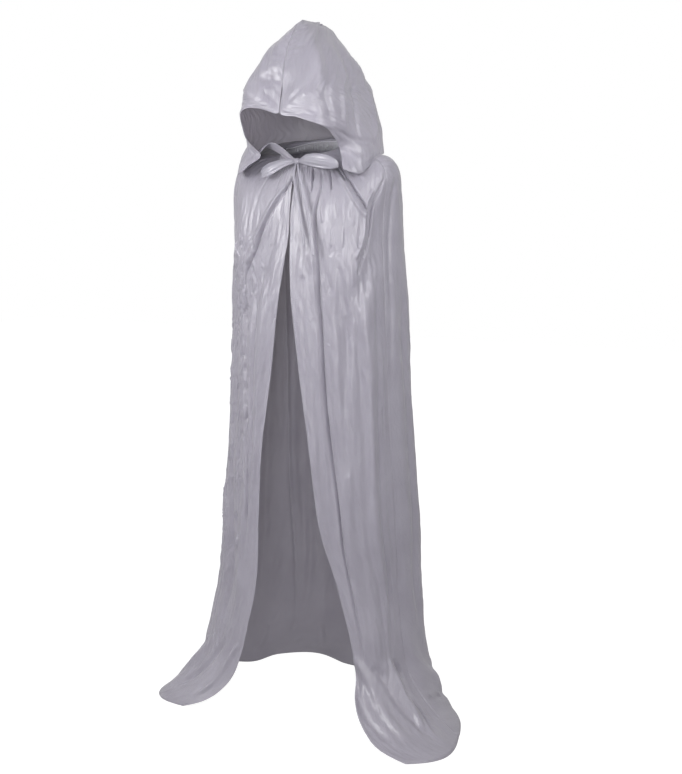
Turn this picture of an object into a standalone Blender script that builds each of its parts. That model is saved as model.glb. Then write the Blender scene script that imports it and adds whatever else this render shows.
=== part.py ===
"""Hooded cape: a floor-length cloak of thin satin, gathered into a ribbon casing at the neck, with a
deep two-piece hood. The cloth is modelled hollow, as it hangs when worn, open down the front.

Metres, +Z up. The wearer faces -Y and the wearer's left is +X. The origin is the middle of the gathered
neckline, where the wearer carries the garment. Heights in the tables are above the floor.
"""

from collections import namedtuple
from math import pi

import bmesh
import bpy
import numpy as np

NECK_HEIGHT = 1.480        # from the floor to the origin
CLOTH = 0.0016             # thickness of the satin wall
SEAM_GAP = 0.0003          # between two pieces that are sewn together
GATHERS = 56               # small gathers round the neckline
COLUMNS = 2 * GATHERS      # a ridge and a hollow for each gather
SIDE_SEAM = 100.0          # bearing of the side seams, in degrees from the middle of the back
SHOULDER_RIDGE = 3.0       # how sharply the cloth falls to the front and back of the shoulders
HOOD_COLUMNS = 26          # from the opening edge to the middle of the back
CASING_WALL = 0.0010
CASING_GAP = 0.0004
PIPING_RADIUS = 0.0011
RIBBON_WALL = 0.0010
KNOT = (0.0040, -0.0972, -0.0110)
KNOT_HALF = (0.0085, 0.0060, 0.0075)

SATIN = (0.46, 0.44, 0.51)
RIBBON = (0.55, 0.53, 0.60)
DENSE = 721                # samples on a section before it is divided into columns

# One row for each section of the cape, from the neck to the hem. Half widths on the wearer's right and
# left, reach to the front and back, squareness of the front and back corners, distance of each front
# edge from the middle, height above the floor at the front, sides and back, depth of the small gathers,
# and the share of the way from an upright fall to the spread hem.
Section = namedtuple("Section", "right left front back square_front square_back edge_right edge_left "
                                "at_front at_side at_back gather spread")
CAPE = [
    Section(0.0885, 0.0885, 0.0885, 0.086, 2.0, 2.0, 0.0030, 0.0030, 1.469, 1.503, 1.525, 0.0011, 0.0),
    Section(0.0920, 0.0920, 0.0920, 0.090, 2.0, 2.0, 0.0030, 0.0030, 1.455, 1.493, 1.512, 0.0012, 0.0),
    Section(0.1150, 0.1150, 0.1010, 0.099, 2.0, 2.0, 0.0030, 0.0030, 1.436, 1.491, 1.497, 0.0024, 0.0),
    Section(0.1600, 0.1640, 0.1150, 0.113, 2.1, 2.1, 0.0030, 0.0030, 1.395, 1.490, 1.460, 0.0030, 0.0),
    Section(0.2010, 0.2090, 0.1280, 0.127, 2.2, 2.2, 0.0025, 0.0025, 1.343, 1.476, 1.410, 0.0026, 0.0),
    Section(0.2250, 0.2350, 0.1350, 0.138, 2.3, 2.2, 0.0010, 0.0045, 1.285, 1.440, 1.350, 0.0018, 0.0),
    Section(0.2350, 0.2430, 0.1410, 0.147, 2.3, 2.2, 0.0115, 0.0060, 1.210, 1.360, 1.265, 0.0008, 0.0),
    Section(0.2380, 0.2490, 0.1460, 0.155, 2.3, 2.2, 0.0280, 0.0150, 1.099, 1.200, 1.129, 0.0, 0.0),
    Section(0.2410, 0.2590, 0.1500, 0.165, 2.3, 2.2, 0.0480, 0.0380, 0.927, 0.978, 0.937, 0.0, 0.0),
    Section(0.2530, 0.2720, 0.1580, 0.176, 2.3, 2.2, 0.0730, 0.0700, 0.723, 0.743, 0.723, 0.0, 0.0),
    Section(0.2690, 0.2890, 0.1650, 0.187, 2.3, 2.2, 0.0820, 0.1010, 0.536, 0.536, 0.536, 0.0, 0.0),
    Section(0.2860, 0.2980, 0.1730, 0.197, 2.3, 2.2, 0.0850, 0.1500, 0.357, 0.357, 0.357, 0.0, 0.0),
    Section(0.3040, 0.3060, 0.1830, 0.207, 2.4, 2.2, 0.1080, 0.1880, 0.235, 0.235, 0.235, 0.0, 0.02),
    Section(0.3200, 0.3160, 0.1920, 0.216, 2.4, 2.2, 0.1260, 0.2080, 0.153, 0.153, 0.153, 0.0, 0.06),
    Section(0.3270, 0.3240, 0.1990, 0.224, 2.5, 2.2, 0.1420, 0.2300, 0.098, 0.098, 0.098, 0.0, 0.22),
    Section(0.3300, 0.3300, 0.2050, 0.230, 2.6, 2.2, 0.1720, 0.2680, 0.056, 0.056, 0.056, 0.0, 0.46),
    Section(0.3300, 0.3350, 0.2100, 0.236, 2.8, 2.2, 0.2100, 0.3300, 0.023, 0.023, 0.023, 0.0, 0.76),
    Section(0.3300, 0.3400, 0.2150, 0.240, 3.0, 2.2, 0.2500, 0.4200, 0.000, 0.000, 0.000, 0.0, 1.0),
]

# The spread hem on the floor, seen from above: bearing from the middle of the back, positive to the
# wearer's left, and reach from the neck's axis.
HemPoint = namedtuple("HemPoint", "bearing reach")
HEM = [
    HemPoint(-180.0, 0.250), HemPoint(-150.0, 0.300), HemPoint(-135.0, 0.354), HemPoint(-122.0, 0.430),
    HemPoint(-98.0, 0.428), HemPoint(-80.0, 0.432), HemPoint(-67.0, 0.338), HemPoint(-48.0, 0.356),
    HemPoint(-30.0, 0.345), HemPoint(-12.0, 0.268), HemPoint(6.0, 0.262), HemPoint(33.0, 0.357),
    HemPoint(50.0, 0.350), HemPoint(66.0, 0.350), HemPoint(82.0, 0.410), HemPoint(98.0, 0.470),
    HemPoint(116.0, 0.535), HemPoint(126.0, 0.505), HemPoint(145.0, 0.370), HemPoint(180.0, 0.270),
]

# The largest folds of the cape: bearing at their top, halfway and at the hem, the heights between which
# they show, half width, and depth, outward if positive.
Fold = namedtuple("Fold", "top_bearing mid_bearing hem_bearing top bottom half_width depth")
FOLDS = [
    Fold(152, 141, 126, 1.34, 0.03, 0.030, -0.0150),
    Fold(163, 154, 140, 1.26, 0.20, 0.028, 0.0080),
    Fold(134, 126, 118, 1.22, 0.25, 0.030, -0.0080),
    Fold(100, 102, 103, 1.42, 0.02, 0.034, -0.0170),
    Fold(96, 110, 122, 1.41, 1.06, 0.026, -0.0100),
    Fold(76, 78, 80, 1.28, 0.20, 0.034, 0.0080),
    Fold(52, 54, 57, 1.30, 0.02, 0.036, -0.0140),
    Fold(30, 30, 30, 1.32, 0.10, 0.034, 0.0100),
    Fold(8, 7, 4, 1.34, 0.02, 0.036, -0.0140),
    Fold(-18, -20, -24, 1.32, 0.10, 0.034, 0.0090),
    Fold(-46, -50, -52, 1.36, 0.02, 0.034, -0.0150),
    Fold(-72, -74, -78, 1.28, 0.15, 0.034, 0.0080),
    Fold(-100, -98, -94, 1.40, 0.10, 0.034, -0.0130),
    Fold(-178, -152, -132, 1.41, 1.04, 0.026, -0.0100),
    Fold(-128, -127, -124, 1.22, 0.15, 0.030, -0.0080),
    Fold(-146, -142, -136, 1.18, 0.25, 0.030, 0.0080),
]

# One row for each section of the hood, from the neck seam out over the shoulders, round the drooping
# fold and up to the blunt peak. Half width, reach to the front and back, where along Y it is widest,
# squareness of the front and back corners, distance of the opening edge from the middle, and height at
# the edge, just behind it, at the front quarter, the side and the middle of the back. The first row is
# the neck seam, which takes its heights from the cape.
HoodSection = namedtuple("HoodSection", "width front back middle square_front square_back edge "
                                        "at_edge at_turn at_quarter at_side at_back")
HOOD = [
    HoodSection(0.0885, 0.0885, 0.086, 0.0, 2.0, 2.0, 0.0030, 1.469, 1.470, 1.481, 1.503, 1.525),
    HoodSection(0.0900, 0.0905, 0.088, 0.0, 2.0, 2.0, 0.0060, 1.475, 1.478, 1.491, 1.514, 1.536),
    HoodSection(0.1350, 0.1050, 0.122, 0.0, 2.1, 2.1, 0.0600, 1.467, 1.476, 1.501, 1.523, 1.530),
    HoodSection(0.1780, 0.1180, 0.146, -0.020, 2.8, 2.2, 0.1300, 1.457, 1.468, 1.497, 1.516, 1.482),
    HoodSection(0.1920, 0.1350, 0.150, -0.030, 3.2, 2.2, 0.1520, 1.445, 1.437, 1.489, 1.508, 1.464),
    HoodSection(0.1900, 0.1320, 0.158, -0.030, 3.2, 2.2, 0.1470, 1.456, 1.452, 1.496, 1.515, 1.473),
    HoodSection(0.1860, 0.1080, 0.160, -0.025, 2.8, 2.2, 0.1310, 1.487, 1.488, 1.508, 1.530, 1.504),
    HoodSection(0.1810, 0.1310, 0.162, -0.010, 2.4, 2.2, 0.1275, 1.511, 1.514, 1.529, 1.547, 1.536),
    HoodSection(0.1720, 0.1850, 0.162, 0.0, 2.3, 2.2, 0.1285, 1.533, 1.542, 1.557, 1.569, 1.570),
    HoodSection(0.1640, 0.2100, 0.163, 0.0, 2.6, 2.2, 0.1250, 1.548, 1.563, 1.581, 1.592, 1.598),
    HoodSection(0.1570, 0.1980, 0.158, 0.0, 3.2, 2.2, 0.1000, 1.560, 1.583, 1.604, 1.615, 1.624),
    HoodSection(0.1490, 0.1835, 0.153, 0.0, 3.8, 2.2, 0.0550, 1.574, 1.603, 1.626, 1.638, 1.649),
    HoodSection(0.1410, 0.1800, 0.146, 0.0, 4.2, 2.2, 0.0002, 1.587, 1.622, 1.648, 1.659, 1.672),
    HoodSection(0.1230, 0.1660, 0.130, 0.0, 4.4, 2.2, 0.0002, 1.645, 1.663, 1.682, 1.690, 1.702),
    HoodSection(0.1050, 0.1550, 0.110, -0.005, 4.2, 2.2, 0.0002, 1.701, 1.707, 1.715, 1.721, 1.732),
    HoodSection(0.0810, 0.1370, 0.103, -0.012, 3.4, 2.1, 0.0002, 1.747, 1.749, 1.752, 1.755, 1.764),
    HoodSection(0.0510, 0.1120, 0.096, -0.018, 2.7, 2.0, 0.0002, 1.785, 1.786, 1.787, 1.788, 1.793),
    HoodSection(0.0270, 0.0860, 0.085, -0.012, 2.2, 2.0, 0.0002, 1.812, 1.812, 1.812, 1.813, 1.815),
    HoodSection(0.0030, 0.0620, 0.044, -0.010, 2.0, 2.0, 0.0002, 1.828, 1.828, 1.828, 1.828, 1.828),
]

# The hood is turned a little to the wearer's left, so the face edge of its right half sits higher. Beside
# the neck that half stands up before it turns over. Rows of the hood's table that differ there: distance of
# the edge from the middle, and height at the edge, just behind it and at the front quarter.
RightFront = namedtuple("RightFront", "row edge at_edge at_turn at_quarter")
RIGHT_FRONT = [
    RightFront(2, 0.0700, 1.506, 1.501, 1.505), RightFront(9, 0.1300, 1.577, 1.581, 1.588),
    RightFront(10, 0.1020, 1.599, 1.603, 1.611), RightFront(11, 0.0550, 1.600, 1.614, 1.631),
]

# The tie: points along the middle of each stretch of ribbon, and its width there.
RibbonPoint = namedtuple("RibbonPoint", "x y z width")
UPRIGHT, LEVEL = (0.0, 0.0, 1.0), (1.0, 0.0, 0.0)
TIE_LOOP_LEFT = [
    RibbonPoint(0.0126, -0.1017, -0.0110, 0.008), RibbonPoint(0.0450, -0.1140, -0.0100, 0.017),
    RibbonPoint(0.0950, -0.1230, -0.0140, 0.026), RibbonPoint(0.1290, -0.1200, -0.0210, 0.022),
    RibbonPoint(0.1370, -0.1150, -0.0230, 0.018), RibbonPoint(0.1250, -0.1105, -0.0220, 0.018),
    RibbonPoint(0.0850, -0.1080, -0.0170, 0.018), RibbonPoint(0.0450, -0.1030, -0.0120, 0.012),
    RibbonPoint(0.0126, -0.0990, -0.0110, 0.008),
]
TIE_LOOP_RIGHT = [
    RibbonPoint(-0.0046, -0.1017, -0.0110, 0.008), RibbonPoint(-0.0320, -0.1140, -0.0180, 0.014),
    RibbonPoint(-0.0660, -0.1220, -0.0310, 0.019), RibbonPoint(-0.0890, -0.1190, -0.0400, 0.016),
    RibbonPoint(-0.0920, -0.1140, -0.0410, 0.014), RibbonPoint(-0.0820, -0.1105, -0.0380, 0.014),
    RibbonPoint(-0.0450, -0.1050, -0.0240, 0.012), RibbonPoint(-0.0046, -0.0990, -0.0120, 0.007),
]
TIE_TAIL_LONG = [
    RibbonPoint(0.0068, -0.0985, -0.0184, 0.005), RibbonPoint(0.0180, -0.1120, -0.0450, 0.008),
    RibbonPoint(0.0370, -0.1260, -0.0900, 0.010), RibbonPoint(0.0520, -0.1370, -0.1400, 0.010),
    RibbonPoint(0.0640, -0.1440, -0.1950, 0.009), RibbonPoint(0.0740, -0.1500, -0.2600, 0.008),
]
TIE_TAIL_SHORT = [
    RibbonPoint(0.0010, -0.0985, -0.0184, 0.005), RibbonPoint(0.0030, -0.1130, -0.0480, 0.008),
    RibbonPoint(0.0180, -0.1270, -0.0950, 0.010), RibbonPoint(0.0340, -0.1380, -0.1450, 0.010),
    RibbonPoint(0.0440, -0.1440, -0.1900, 0.009), RibbonPoint(0.0500, -0.1480, -0.2300, 0.008),
]


def clear_scene():
    """Remove whatever the scene holds, so that only the garment is in it."""
    for thing in list(bpy.data.objects):
        bpy.data.objects.remove(thing)


def smooth_curve(stations, values, where):
    """A cubic through (station, value) pairs, with the slope at each taken from its neighbours."""
    stations = np.asarray(stations, float)
    values = np.asarray(values, float)
    slopes = np.gradient(values, stations)
    where = np.clip(where, stations[0], stations[-1])
    index = np.clip(np.searchsorted(stations, where) - 1, 0, len(stations) - 2)
    span = stations[index + 1] - stations[index]
    part = (where - stations[index]) / span
    start, end = values[index], values[index + 1]
    leave, arrive = slopes[index] * span, slopes[index + 1] * span
    return (start * (1 + 2 * part) * (1 - part) ** 2 + leave * part * (1 - part) ** 2
            + end * part ** 2 * (3 - 2 * part) - arrive * part ** 2 * (1 - part))


def rounded(value, square):
    """A sine or cosine raised so that a circle becomes squarer as square grows past 2."""
    return np.sign(value) * np.abs(value) ** (2.0 / square)


def unit(vectors):
    """The same vectors, one metre long."""
    return vectors / np.linalg.norm(vectors, axis=-1, keepdims=True)


def along(points, count):
    """count points evenly spaced by distance along a dense line of points."""
    steps = np.linalg.norm(np.diff(points[:, :2], axis=0), axis=1)
    distance = np.concatenate([[0.0], np.cumsum(steps)])
    wanted = np.linspace(0.0, distance[-1], count)
    return np.stack([np.interp(wanted, distance, column) for column in points.T], axis=1)


def outward(points):
    """Unit normals of a grid of points whose rows run round the body and whose columns run down it."""
    down = np.gradient(points, axis=0)
    across = np.gradient(points, axis=1)
    return unit(np.cross(across, down))


def fold_reach(bearing, height, reach):
    """How far the largest folds move the cloth in or out, each a soft ridge or trough along its line."""
    moved = np.zeros_like(bearing)
    for fold in FOLDS:
        middle = (fold.top + fold.bottom) / 2
        line = smooth_curve([fold.bottom, middle, fold.top],
                            [fold.hem_bearing, fold.mid_bearing, fold.top_bearing], height)
        away = np.radians(bearing - line) * reach
        rise = np.clip((fold.top - height) / 0.16, 0, 1) * np.clip((height - fold.bottom) / 0.10, 0, 1)
        moved += fold.depth * rise * np.exp(-(away / fold.half_width) ** 2)
    return moved


def cape_section(section):
    """The columns of one section, in three stretches: right front, back and left front."""
    angle = np.linspace(-pi, pi, 2 * DENSE - 1)
    sine, cosine = np.sin(angle), np.cos(angle)
    width = np.where(sine < 0, section.right, section.left)
    depth = np.where(cosine < 0, section.front, section.back)
    square = np.where(cosine < 0, section.square_front, section.square_back)
    x = width * rounded(sine, square)
    y = depth * rounded(cosine, square)
    bearing = np.degrees(np.arctan2(x, y))
    bearing[0], bearing[-1] = -180.0, 180.0
    hem = smooth_curve([p.bearing for p in HEM], [p.reach for p in HEM], bearing)
    reach = np.hypot(x, y) * (1 - section.spread) + hem * section.spread
    side = np.minimum(np.abs(x / width), 1.0) ** SHOULDER_RIDGE
    end = np.where(cosine < 0, section.at_front, section.at_back)
    height = section.at_side * side + end * (1 - side)
    reach = reach + fold_reach(bearing, height, reach)
    x, y = reach * np.sin(np.radians(bearing)), reach * np.cos(np.radians(bearing))
    right_half = bearing < -90
    left_half = bearing > 90
    right_edge = np.interp(section.edge_right, -x[right_half], bearing[right_half])
    left_edge = np.interp(-section.edge_left, -x[left_half], bearing[left_half])
    points = np.stack([x, y, height - NECK_HEIGHT], axis=1)
    stretches = []
    for start, stop, count in stretch_limits(right_edge, left_edge):
        inside = (bearing > start) & (bearing < stop)
        ends = [np.array([np.interp(b, bearing, column) for column in points.T]) for b in (start, stop)]
        dense = np.vstack([ends[0], points[inside], ends[1]])
        stretches.append(along(dense, count + 1))
    return np.vstack([stretches[0], stretches[1][1:], stretches[2][1:]])


def stretch_limits(right_edge, left_edge):
    """Bearings that each panel runs between, and its share of the columns."""
    front = COLUMNS // 4 + 4
    back = COLUMNS - 2 * front
    return ((right_edge, -SIDE_SEAM, front), (-SIDE_SEAM, SIDE_SEAM, back), (SIDE_SEAM, left_edge, front))


def level_first_row(normal):
    """The same normals, with those of the neck seam turned level, so that the seam's gap stays even."""
    normal = normal.copy()
    normal[0, :, 2] = 0.0
    return unit(normal)


def cape_walls():
    """The inner and outer faces of the whole cape, as grids of points, with the gathers pressed in."""
    smooth = np.array([cape_section(section) for section in CAPE])
    normal = level_first_row(outward(smooth))
    gather = np.array([section.gather for section in CAPE])[:, None]
    ridge = np.where(np.arange(COLUMNS + 1) % 2 == 0, -1.0, 1.0)[None, :]
    inner = smooth + normal * (gather * ridge)[:, :, None]
    return inner, inner + normal * CLOTH


def neck_height(x, y):
    """Height of the neck seam over a point of its outline, from the origin's level."""
    seam = CAPE[0]
    side = np.minimum(np.abs(x / seam.left), 1.0) ** SHOULDER_RIDGE
    end = np.where(y < 0, seam.at_front, seam.at_back)
    return seam.at_side * side + end * (1 - side) - NECK_HEIGHT


def hood_tables():
    """The rows of the left half and of the right half, which differ along the front."""
    right = list(HOOD)
    for front in RIGHT_FRONT:
        right[front.row] = HOOD[front.row]._replace(edge=front.edge, at_edge=front.at_edge,
                                                    at_turn=front.at_turn, at_quarter=front.at_quarter)
    return HOOD, right


def hood_section(section):
    """The columns of one section of half the hood, on the left, from its opening edge to the back."""
    angle = np.linspace(pi, 0.0, DENSE)
    sine, cosine = np.sin(angle), np.cos(angle)
    at_front = cosine < 0
    square = np.where(at_front, section.square_front, section.square_back)
    depth = np.where(at_front, section.middle + section.front, section.back - section.middle)
    x = section.width * rounded(np.clip(sine, 0, 1), square)
    y = section.middle + depth * rounded(cosine, square)
    before_side = angle > pi / 2
    start = np.interp(section.edge, x[before_side], np.arange(before_side.sum()))
    first = int(np.ceil(start))
    edge = np.array([np.interp(start, np.arange(DENSE), column) for column in (x, y)])
    line = np.vstack([edge, np.stack([x, y], axis=1)[first:]])
    plan = along(line, HOOD_COLUMNS + 1)
    share = np.linspace(0.0, 1.0, HOOD_COLUMNS + 1)
    height = smooth_curve([0.0, 0.1, 0.25, 0.5, 1.0],
                          [section.at_edge, section.at_turn, section.at_quarter, section.at_side,
                           section.at_back], share)
    return np.column_stack([plan, height - NECK_HEIGHT])


def hood_walls(table):
    """The inner and outer faces of half the hood, on the left, kept off the plane of the centre seam."""
    inner = np.array([hood_section(section) for section in table])
    inner[0, :, 2] = neck_height(inner[0, :, 0], inner[0, :, 1]) + SEAM_GAP
    outer = inner + level_first_row(outward(inner)) * CLOTH
    for face in (inner, outer):
        face[:, :, 0] = np.maximum(face[:, :, 0], SEAM_GAP / 2)
    outer[-1, :, 0] = np.maximum(outer[-1, :, 0], inner[-1, :, 0] + CLOTH)
    return inner, outer


def satin(name, colour, roughness):
    """A soft satin finish in a plain colour."""
    material = bpy.data.materials.new(name)
    material.use_nodes = True
    shader = material.node_tree.nodes["Principled BSDF"]
    shader.inputs["Base Color"].default_value = (*colour, 1.0)
    shader.inputs["Roughness"].default_value = roughness
    shader.inputs["Metallic"].default_value = 0.0
    return material


def add_object(name, mesh, material, collection):
    """Put a finished mesh into the garment's collection, shaded smooth."""
    mesh.materials.append(material)
    mesh.shade_smooth()
    mesh.set_sharp_from_angle(angle=1.0)
    thing = bpy.data.objects.new(name, mesh)
    collection.objects.link(thing)
    return thing


def split_cells(points, index):
    """Two triangles for each cell of a grid, cut along its shorter diagonal."""
    a, b, c, d = (index[:-1, :-1].ravel(), index[:-1, 1:].ravel(), index[1:, 1:].ravel(), index[1:, :-1].ravel())
    flat = points.reshape(-1, 3)
    by_ac = np.linalg.norm(flat[a] - flat[c], axis=1) < np.linalg.norm(flat[b] - flat[d], axis=1)
    first = np.where(by_ac[:, None], np.stack([a, b, c], axis=1), np.stack([a, b, d], axis=1))
    second = np.where(by_ac[:, None], np.stack([a, c, d], axis=1), np.stack([b, c, d], axis=1))
    return np.vstack([first, second])


def wall(name, inner, outer, material, collection):
    """A closed wall of cloth: two grids of the same size, joined round their four edges."""
    rows, columns = inner.shape[:2]
    count = rows * columns
    index = np.arange(count).reshape(rows, columns)
    cells = split_cells(inner, index)
    rim = np.concatenate([index[0, :-1], index[:-1, -1], index[-1, :0:-1], index[:0:-1, 0]])
    after = np.roll(rim, -1)
    sides = np.stack([rim, after, after + count, rim + count], axis=-1)
    faces = cells.tolist() + (cells[:, ::-1] + count).tolist() + sides[:, ::-1].tolist()
    mesh = bpy.data.meshes.new(name)
    mesh.from_pydata(np.vstack([inner.reshape(-1, 3), outer.reshape(-1, 3)]).tolist(), [], faces)
    work = bmesh.new()
    work.from_mesh(mesh)
    bmesh.ops.recalc_face_normals(work, faces=work.faces)
    work.to_mesh(mesh)
    work.free()
    return add_object(name, mesh, material, collection)


def drawn_in(face, first, last):
    """A copy of a grid whose first and last columns are moved in by half the seam gap."""
    face = face.copy()
    if first:
        face[:, 0] += unit(face[:, 1] - face[:, 0]) * SEAM_GAP / 2
    if last:
        face[:, -1] += unit(face[:, -2] - face[:, -1]) * SEAM_GAP / 2
    return face


def make_cape(material, collection):
    """The three panels, which share their points along the two side seams but for the seam gap."""
    inner, outer = cape_walls()
    start = 0
    for name, (_, _, count) in zip(("cape_right_front", "cape_back", "cape_left_front"),
                                   stretch_limits(-180.0, 180.0)):
        stop = start + count
        faces = [drawn_in(face[:, start:stop + 1], start > 0, stop < COLUMNS) for face in (inner, outer)]
        wall(name, *faces, material, collection)
        start = stop
    return inner


def make_hood(material, collection):
    """Two halves, each kept off the seam plane between them; the right one is made on the left and mirrored."""
    left, right = hood_tables()
    mirror = np.array([-1.0, 1.0, 1.0])
    wall("hood_left", *hood_walls(left), material, collection)
    wall("hood_right", *[face * mirror for face in hood_walls(right)], material, collection)


def make_casing(cape_inner, material, collection):
    """The gathered band inside the neckline, made from the top of the cape's inner face."""
    top = cape_inner[:2]
    normal = outward(cape_inner)[:2]
    outer = top - normal * CASING_GAP
    wall("neck_casing", outer - normal * CASING_WALL, outer, material, collection)


def make_piping(material, collection):
    """The bound edge along the top of the band, a thin cord of cloth just inside the neck seam."""
    section = CAPE[0]
    angle = np.linspace(-pi, pi, 61)[1:-1]
    inset = SEAM_GAP + section.gather + PIPING_RADIUS
    depth = np.where(np.cos(angle) < 0, section.front, section.back)
    x = section.left * np.sin(angle)
    y = depth * np.cos(angle)
    z = neck_height(x, y) + SEAM_GAP + PIPING_RADIUS
    x = x * (1 - inset / section.left)
    y = y * (1 - inset / depth)
    line = bpy.data.curves.new("neck_piping", "CURVE")
    line.dimensions = "3D"
    line.bevel_depth = PIPING_RADIUS
    line.bevel_resolution = 1
    line.use_fill_caps = True
    spline = line.splines.new("POLY")
    spline.points.add(len(x) - 1)
    spline.points.foreach_set("co", np.column_stack([x, y, z, np.ones_like(x)]).ravel())
    line.materials.append(material)
    collection.objects.link(bpy.data.objects.new("neck_piping", line))


def make_ribbon(name, route, pieces, broad, material, collection):
    """A flat ribbon through the points of its route, with its width along the broad direction."""
    stations = np.arange(len(route))
    where = np.linspace(0, len(route) - 1, pieces + 1)
    centre = np.column_stack([smooth_curve(stations, column, where) for column in np.array(route).T[:3]])
    width = smooth_curve(stations, [point.width for point in route], where)
    forward = unit(np.gradient(centre, axis=0))
    flat = unit(np.cross(forward, broad))
    half = np.cross(flat, forward) * width[:, None] / 2
    through = flat * RIBBON_WALL / 2
    back = np.stack([centre - half - through, centre + half - through], axis=1)
    front = np.stack([centre - half + through, centre + half + through], axis=1)
    wall(name, back, front, material, collection)


def make_knot(material, collection):
    """The small tight knot of the bow, seated on the front of the neckline."""
    work = bmesh.new()
    bmesh.ops.create_uvsphere(work, u_segments=16, v_segments=10, radius=1.0)
    bmesh.ops.scale(work, vec=KNOT_HALF, verts=work.verts)
    bmesh.ops.translate(work, vec=KNOT, verts=work.verts)
    mesh = bpy.data.meshes.new("tie_knot")
    work.to_mesh(mesh)
    work.free()
    add_object("tie_knot", mesh, material, collection)


def make_tie(material, collection):
    """The bow that closes the neck: a knot, two soft loops and two hanging tails."""
    make_knot(material, collection)
    make_ribbon("tie_loop_left", TIE_LOOP_LEFT, 28, UPRIGHT, material, collection)
    make_ribbon("tie_loop_right", TIE_LOOP_RIGHT, 24, UPRIGHT, material, collection)
    make_ribbon("tie_tail_long", TIE_TAIL_LONG, 18, LEVEL, material, collection)
    make_ribbon("tie_tail_short", TIE_TAIL_SHORT, 16, LEVEL, material, collection)


def main():
    clear_scene()
    garment = bpy.data.collections.new("Hooded cape")
    bpy.context.scene.collection.children.link(garment)
    cloth = satin("Silver satin", SATIN, 0.42)
    make_hood(cloth, garment)
    cape_inner = make_cape(cloth, garment)
    make_casing(cape_inner, cloth, garment)
    ribbon = satin("Satin ribbon", RIBBON, 0.36)
    make_piping(ribbon, garment)
    make_tie(ribbon, garment)


main()
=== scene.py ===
"""Hooded cape in silver crushed satin: three gathered panels, a two-piece hood, a ribbon casing, a bow."""
from collections import namedtuple
from math import atan, cos, pi, radians, sin

import bpy
import numpy as np
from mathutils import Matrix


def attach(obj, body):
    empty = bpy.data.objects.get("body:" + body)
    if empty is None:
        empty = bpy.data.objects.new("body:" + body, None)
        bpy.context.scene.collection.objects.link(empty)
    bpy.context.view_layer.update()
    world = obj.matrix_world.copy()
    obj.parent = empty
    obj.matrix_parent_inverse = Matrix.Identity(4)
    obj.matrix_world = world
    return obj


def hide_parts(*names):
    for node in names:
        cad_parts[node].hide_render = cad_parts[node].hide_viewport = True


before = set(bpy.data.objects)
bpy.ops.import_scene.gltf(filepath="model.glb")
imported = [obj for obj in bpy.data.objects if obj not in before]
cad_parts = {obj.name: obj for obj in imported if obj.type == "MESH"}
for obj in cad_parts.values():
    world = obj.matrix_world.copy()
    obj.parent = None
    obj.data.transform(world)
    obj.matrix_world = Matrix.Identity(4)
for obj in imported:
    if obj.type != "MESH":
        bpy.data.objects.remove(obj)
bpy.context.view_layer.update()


# Satin: polyester satin with a crushed finish, woven face outwards. The floating threads give it long soft
# highlights down each fold, and the crush breaks them into small bright crinkles. The wrong side is duller.
def linear(code):
    """The linear RGBA of an sRGB hex colour."""
    channel = np.array([int(code[i:i + 2], 16) for i in (1, 3, 5)]) / 255
    return (*np.where(channel <= 0.04045, channel / 12.92, ((channel + 0.055) / 1.055) ** 2.4), 1.0)


def add_node(material, kind, inputs=None, **settings):
    """A node of a material with its settings, values and links; a socket given as a value is linked."""
    node = material.node_tree.nodes.new(kind)
    for name, value in settings.items():
        setattr(node, name, value)
    for name, value in (inputs or {}).items():
        if isinstance(value, bpy.types.NodeSocket):
            material.node_tree.links.new(value, node.inputs[name])
        else:
            node.inputs[name].default_value = value
    return node


# Patterns to a metre of cloth: crinkles about 14 mm and small folds about 19 mm across, as the crush has,
# and slow changes of tone. Threads are 0.1 mm wide. They are drawn as streaks of 1.4 mm, so that they show.
CRINKLES = 70.0
SMALL_FOLDS = 52.0
STREAKS = 700.0
TONES = 9.0
CRUSH_EVERYWHERE = 0.22


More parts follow.
